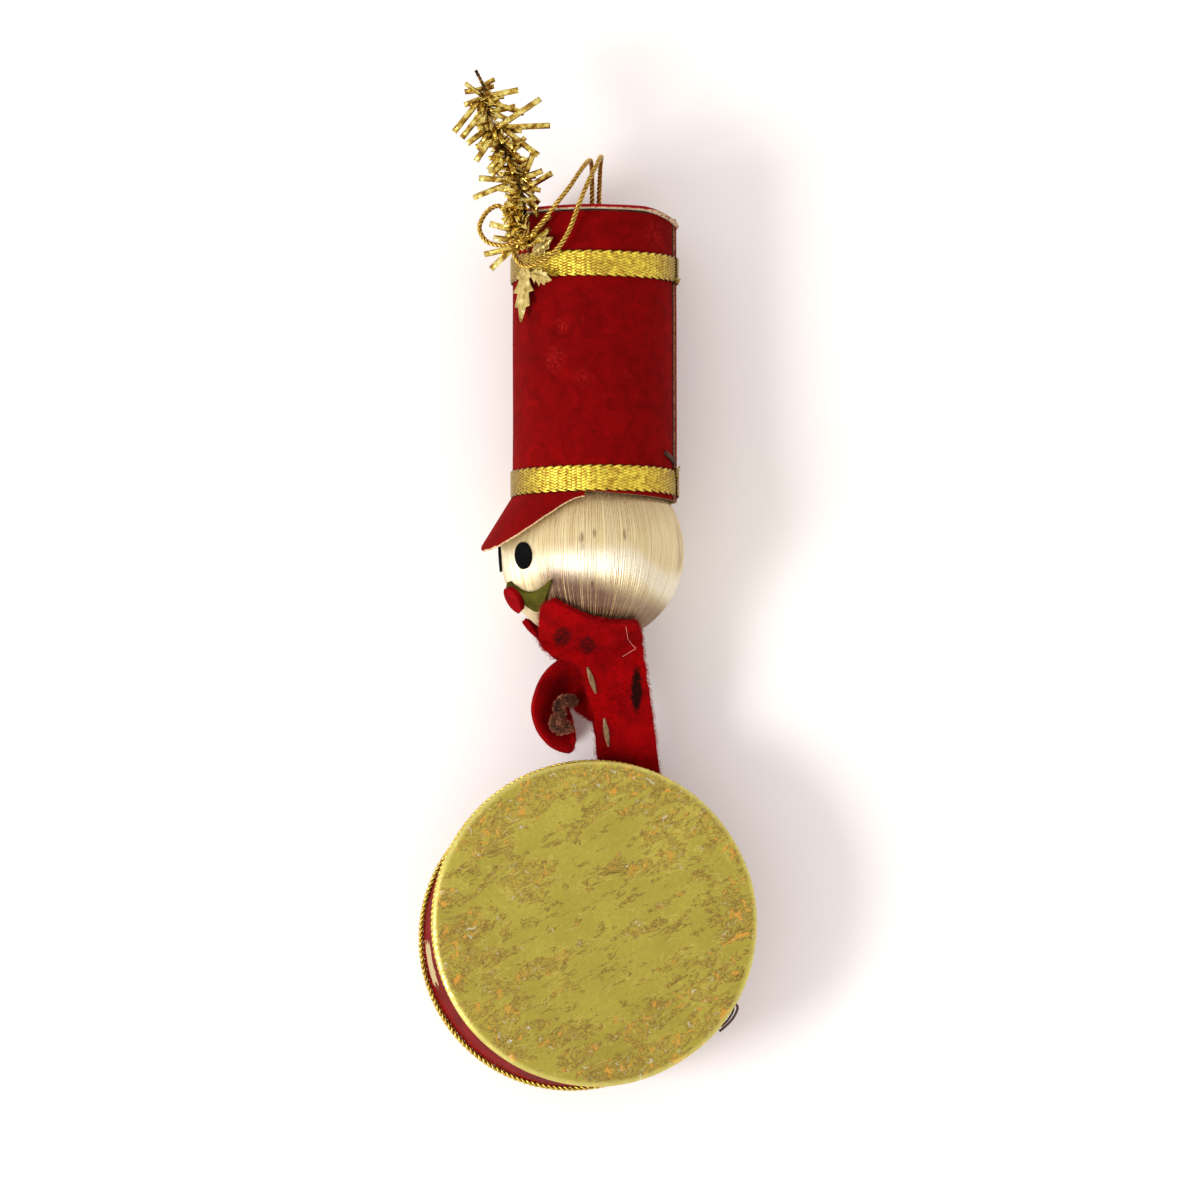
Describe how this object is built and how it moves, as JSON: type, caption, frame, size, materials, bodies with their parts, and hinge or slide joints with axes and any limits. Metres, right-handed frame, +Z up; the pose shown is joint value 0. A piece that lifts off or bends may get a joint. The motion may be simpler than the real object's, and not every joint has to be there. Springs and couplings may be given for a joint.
{
  "type": "toy soldier ornament",
  "caption": "Hanging tree ornament of a toy drummer soldier with a tall hat, satin ball head, felt coat, foil drum and tinsel plume, lying on its back.",
  "frame": {"origin": "centre of the drum's back head, on the table", "axes": "+X to the figure's back, +Y from the drum to the top of the hat, +Z up from the table"},
  "size_m": [0.0684, 0.2128, 0.038],
  "materials": {
    "gold_foil": "gold foil over card, crazed",
    "red_hoop": "glossy red paper over card",
    "gold_thread": "plaited or twisted metallic thread",
    "satin": "ivory satin thread wound on a foam ball",
    "black_felt": "felt",
    "olive_felt": "felt",
    "red_felt": "felt",
    "red_velvet": "flocked velvet paper over card",
    "chenille": "tan chenille",
    "tan_thread": "tan embroidery thread",
    "tinsel": "gold tinsel foil on a wire"
  },
  "bodies": {
    "root": {"drum_back_head": "gold_foil", "drum_front_head": "gold_foil", "drum_hoop": "red_hoop", "drum_front_trim": "gold_thread", "drum_back_trim": "gold_thread", "head_ball": "satin", "near_eye": "black_felt", "far_eye": "black_felt", "moustache": "olive_felt", "nose": "red_felt", "hat_tube": "red_velvet", "hat_top": "red_velvet", "lower_braid": "gold_thread", "upper_braid": "gold_thread", "visor": "red_velvet", "coat_near_layer": "red_felt", "coat_far_layer": "red_felt", "upper_stitch": "tan_thread", "lower_stitch": "tan_thread", "near_sleeve": "red_felt", "near_hand": "chenille", "far_sleeve": "red_felt", "plume": "tinsel", "leaf_pointing_down": "tinsel", "leaf_pointing_right": "tinsel", "leaf_pointing_up": "tinsel", "hanging_cord": "gold_thread"}
  },
  "joints": []
}
